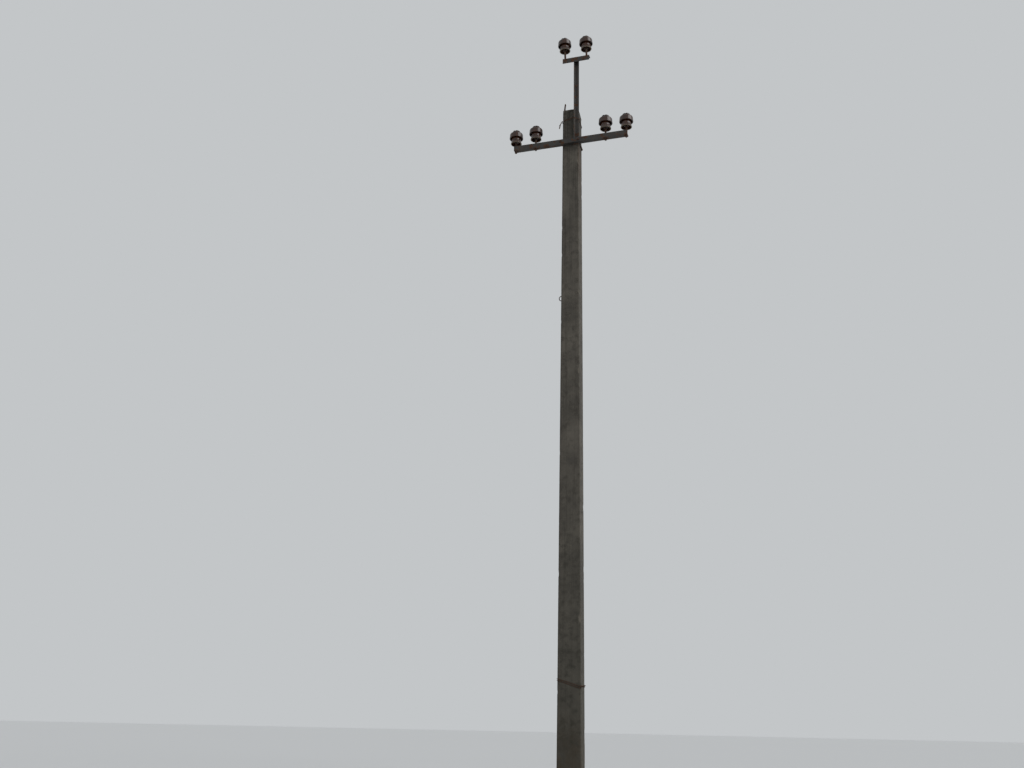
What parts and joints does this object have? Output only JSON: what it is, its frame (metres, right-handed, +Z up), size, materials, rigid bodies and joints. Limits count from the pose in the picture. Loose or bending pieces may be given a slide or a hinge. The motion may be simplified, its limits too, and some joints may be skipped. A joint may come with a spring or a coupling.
{
  "type": "concrete_utility_pole",
  "caption": "Tapered concrete pole with a steel crossarm, a riser and crosspiece on its head, and pin insulators that hold overhead line wires.",
  "frame": {"origin": "The middle of the post's foot, at ground level.", "axes": "+X runs along the crossarm, +Y runs along the line towards the post's far face, +Z is up. The crossarm is on the -Y face."},
  "size_m": [1.613, 0.3368, 9.1644],
  "materials": {
    "weathered_concrete": "form-cast grey cement with pores, rain streaks and worn edges",
    "rusted_angle_steel": "old dark paint over hot-rolled angle steel, with rust at edges and holes",
    "rusted_fittings": "bolts, nuts, pins and washers with dull brown rust over worn zinc",
    "brown_porcelain": "dark brown glossy glaze with a film of dust",
    "pin_cap": "dull grey moulded plastic",
    "rusted_wire": "soft iron wire with even brown rust"
  },
  "bodies": {
    "root": {"concrete_post": "weathered_concrete", "top_bar_stub": "rusted_fittings", "lifting_loop": "rusted_fittings", "crossarm": "rusted_angle_steel", "riser": "rusted_angle_steel", "top_crosspiece": "rusted_angle_steel", "arm_clamp": "rusted_fittings", "arm_clamp_nuts": "rusted_fittings", "arm_clamp_washers": "rusted_fittings", "arm_pin_nuts": "rusted_fittings", "arm_pin_washers": "rusted_fittings", "top_pin_nuts": "rusted_fittings", "top_pin_washers": "rusted_fittings", "upper_wire_binding": "rusted_wire", "lower_wire_band": "rusted_wire", "pin_outer_left": "rusted_fittings", "pin_inner_left": "rusted_fittings", "pin_inner_right": "rusted_fittings", "pin_outer_right": "rusted_fittings", "pin_top_left": "rusted_fittings", "pin_top_right": "rusted_fittings", "cap_outer_left": "pin_cap", "cap_inner_left": "pin_cap", "cap_inner_right": "pin_cap", "cap_outer_right": "pin_cap", "cap_top_left": "pin_cap", "cap_top_right": "pin_cap", "insulator_outer_left": "brown_porcelain", "insulator_inner_left": "brown_porcelain", "insulator_inner_right": "brown_porcelain", "insulator_outer_right": "brown_porcelain", "insulator_top_left": "brown_porcelain", "insulator_top_right": "brown_porcelain"}
  },
  "joints": []
}
